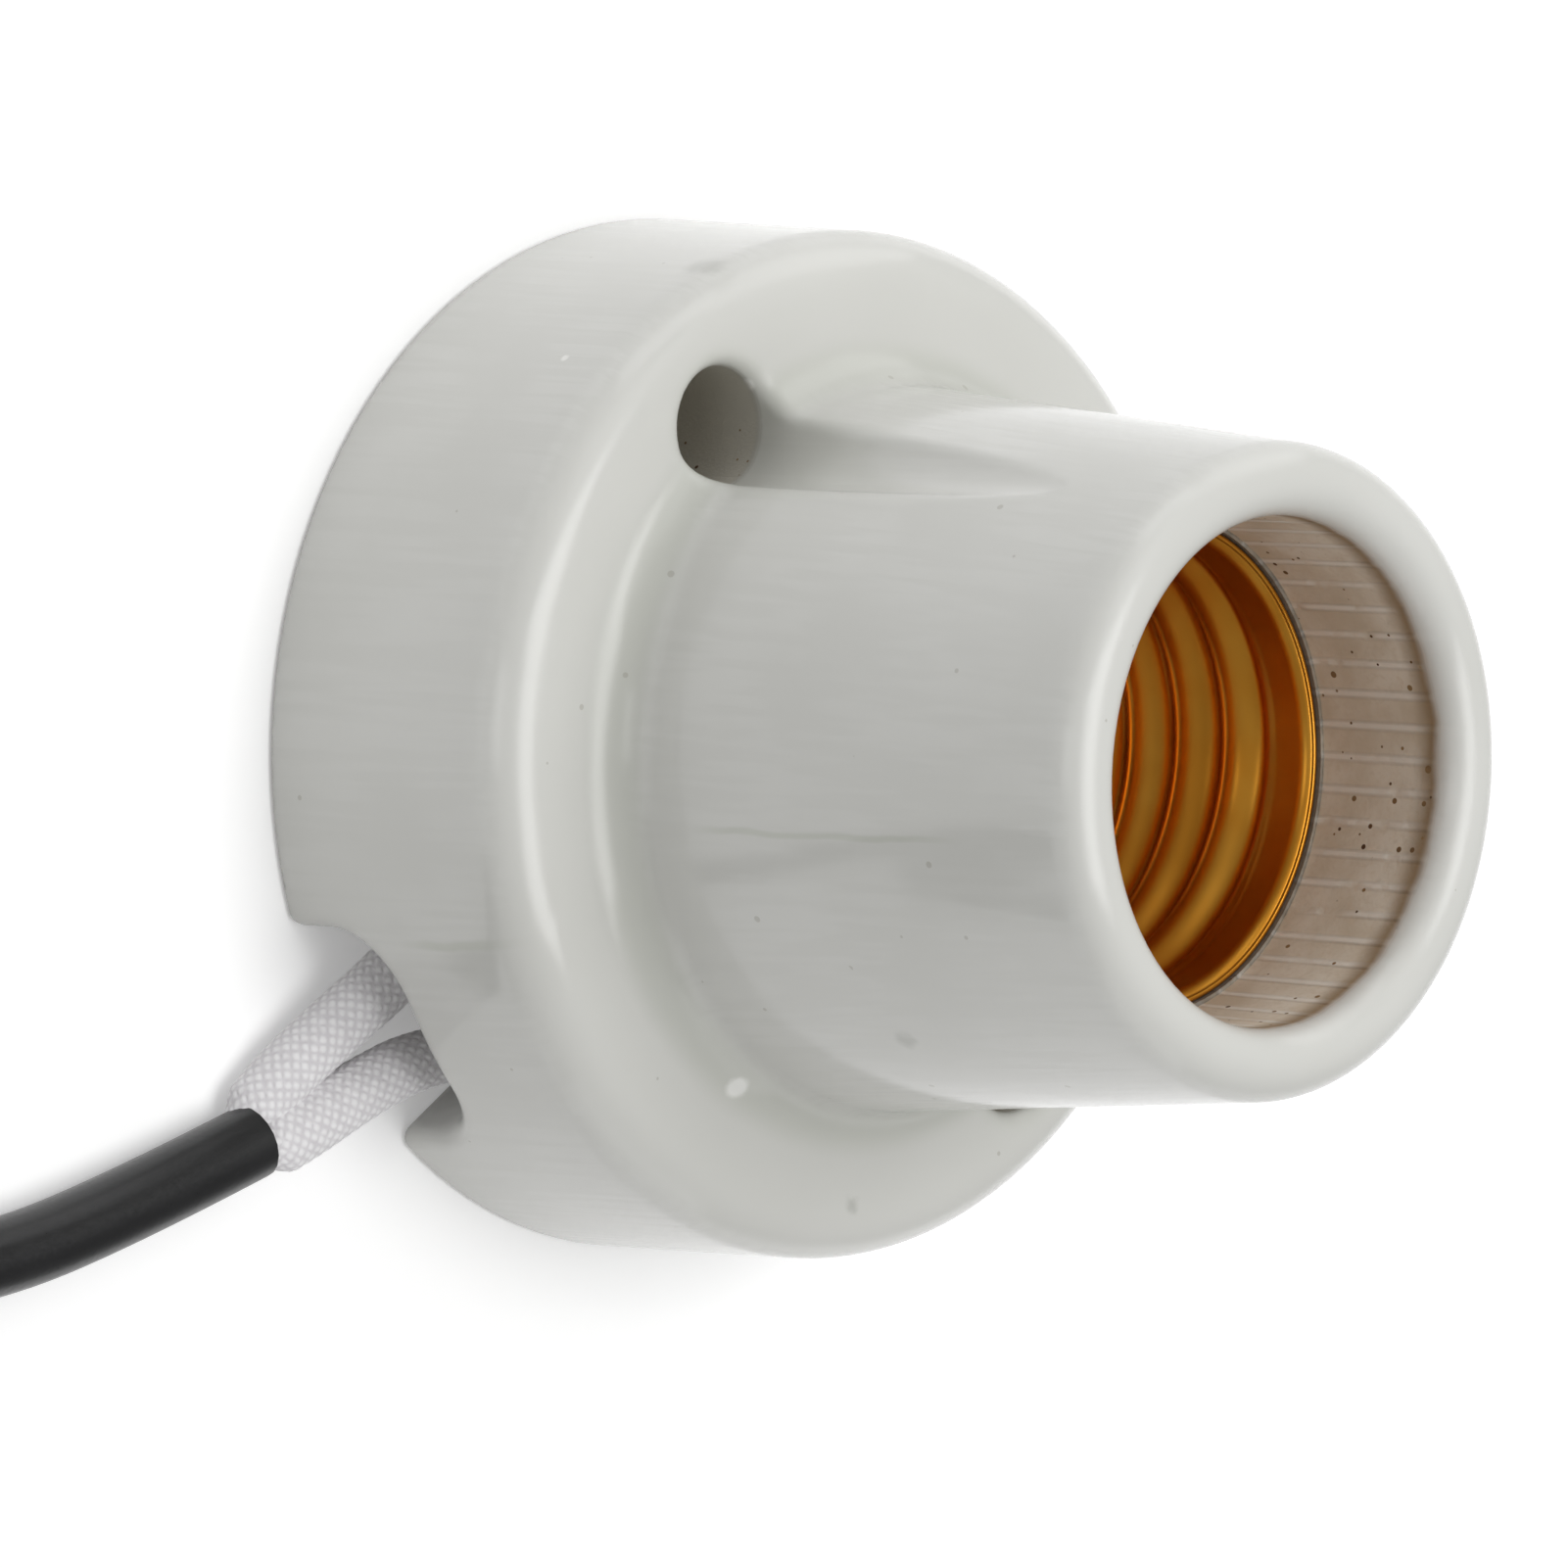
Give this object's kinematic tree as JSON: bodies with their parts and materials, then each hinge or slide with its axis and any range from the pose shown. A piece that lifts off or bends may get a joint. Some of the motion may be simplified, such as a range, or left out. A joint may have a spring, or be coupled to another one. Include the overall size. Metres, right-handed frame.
{
  "type": "surface-mounted porcelain screw lamp holder",
  "caption": "Round glazed porcelain base with a fluted neck that holds a rolled brass screw shell and sprung contact, with a short two-core lead from a notch in the rim.",
  "frame": {"origin": "centre of the flat rear mounting face", "axes": "+Z out of the mouth along the socket axis, the two mounting holes on the X axis, the cable notch towards -Y"},
  "size_m": [0.0694, 0.1615, 0.0504],
  "materials": {
    "porcelain": "glossy off-white glaze, unglazed in the bore",
    "shell_brass": "gold lacquered, bright",
    "contact_brass": "plain rolled brass",
    "plated_screws": "nickel plated",
    "jacket": "smooth black, satin",
    "braid": "white braided glass fibre",
    "live_insulation": "brown, satin",
    "neutral_insulation": "blue, satin",
    "tinned_copper": "tinned copper strands",
    "tie": "black, matt"
  },
  "bodies": {
    "root": {"porcelain_body": "porcelain", "screw_shell": "shell_brass", "centre_contact": "contact_brass", "centre_terminal": "contact_brass", "shell_terminal": "contact_brass", "contact_screw": "plated_screws", "shell_terminal_screw": "plated_screws", "shell_fixing_screw": "plated_screws", "shell_fixing_nut": "plated_screws", "live_wire_screw": "plated_screws", "neutral_wire_screw": "plated_screws", "live_conductor": "tinned_copper", "neutral_conductor": "tinned_copper", "live_core": "live_insulation", "neutral_core": "neutral_insulation", "live_sleeve": "braid", "neutral_sleeve": "braid", "cable_lead": "jacket", "cable_coil": "jacket", "coil_tie": "tie", "cable_tail": "jacket", "live_tail_core": "live_insulation", "neutral_tail_core": "neutral_insulation", "live_tail_tip": "tinned_copper", "neutral_tail_tip": "tinned_copper"}
  },
  "joints": []
}
